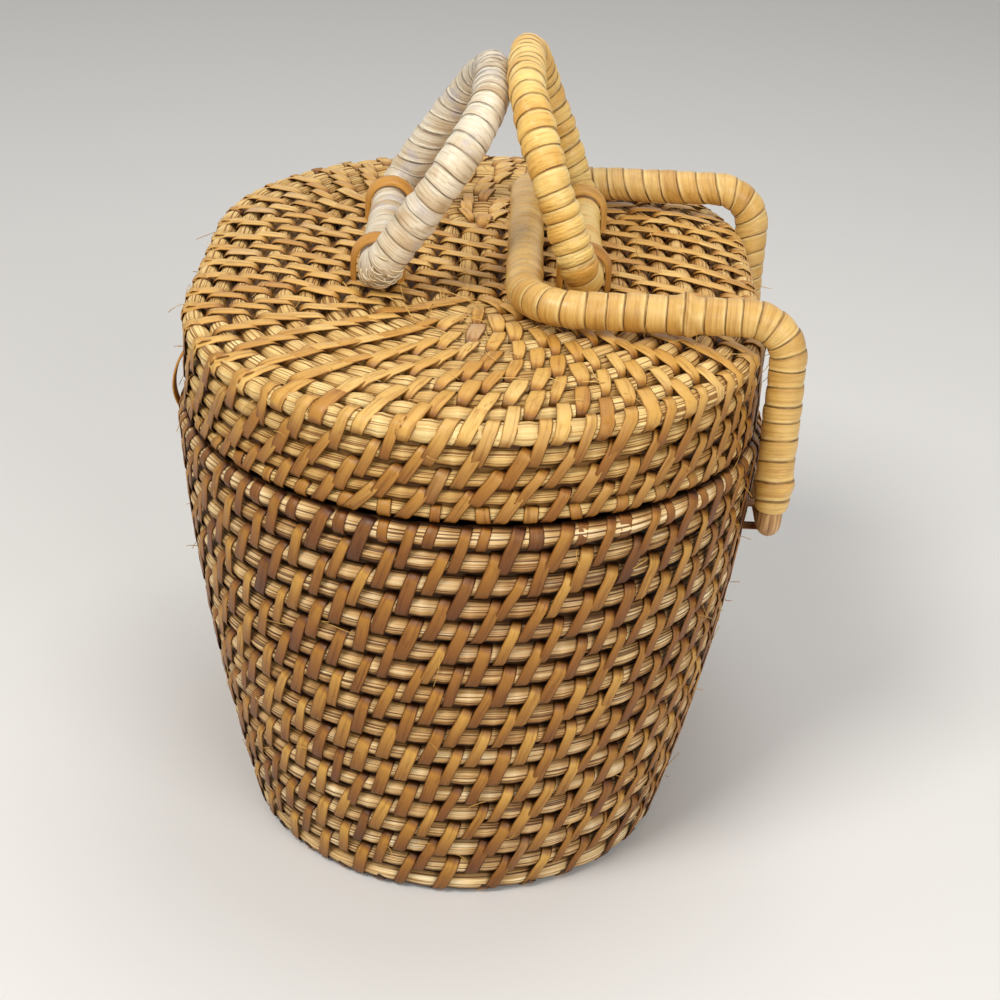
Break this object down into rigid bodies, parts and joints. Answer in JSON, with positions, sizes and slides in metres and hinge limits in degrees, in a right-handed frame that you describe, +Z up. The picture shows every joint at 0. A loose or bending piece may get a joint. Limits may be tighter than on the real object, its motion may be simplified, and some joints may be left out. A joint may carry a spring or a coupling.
{
  "type": "lidded wicker basket",
  "caption": "Oval coiled cane basket with a hinged lid, ring handles standing on the lid and a U-shaped hasp that laps over the lid and down the side.",
  "frame": {"origin": "middle of the flat underside of the basket", "axes": "+Z up, +Y along the length of the basket away from the viewer, +X towards the side that carries the hasp"},
  "size_m": [0.1891, 0.2438, 0.2378],
  "materials": {
    "coil_cane": "matte coiled rattan, stitched with flat cane",
    "pale_wrap": "satin wrapped cane, worn pale",
    "golden_wrap": "satin wrapped cane",
    "tan_wrap": "satin wrapped cane",
    "bare_rod": "matte bare cane",
    "tie_cane": "satin flat cane strip"
  },
  "bodies": {
    "basket": {"basket_body": "coil_cane", "hasp_loop_near": "tie_cane", "hasp_loop_far": "tie_cane", "lid_hinge_loop_near": "tie_cane", "lid_hinge_loop_far": "tie_cane"},
    "lid": {"lid": "coil_cane", "left_handle_loop_near": "tie_cane", "left_handle_loop_far": "tie_cane", "right_handle_loop_near": "tie_cane", "right_handle_loop_far": "tie_cane"},
    "left_handle": {"left_handle": "pale_wrap"},
    "right_handle": {"right_handle": "golden_wrap"},
    "hasp": {"hasp": "tan_wrap", "hasp_foot": "bare_rod"}
  },
  "joints": [
    {"name": "lid_hinge", "type": "hinge", "parent": "basket", "child": "lid", "pos_m": [-0.09136, 0, 0.13885], "axis": [0, -1, 0], "range_deg": [0, 0.4]},
    {"name": "left_handle_hinge", "type": "hinge", "parent": "lid", "child": "left_handle", "pos_m": [-0.03035, 0.0045, 0.17765], "axis": [0, -1, 0], "range_deg": [0, 120]},
    {"name": "right_handle_hinge", "type": "hinge", "parent": "lid", "child": "right_handle", "pos_m": [0.03235, 0.0045, 0.17765], "axis": [0, 1, 0], "range_deg": [0, 108]},
    {"name": "hasp_hinge", "type": "hinge", "parent": "basket", "child": "hasp", "pos_m": [0.0916, 0, 0.1107], "axis": [0, 1, 0], "range_deg": [0, 2]}
  ]
}
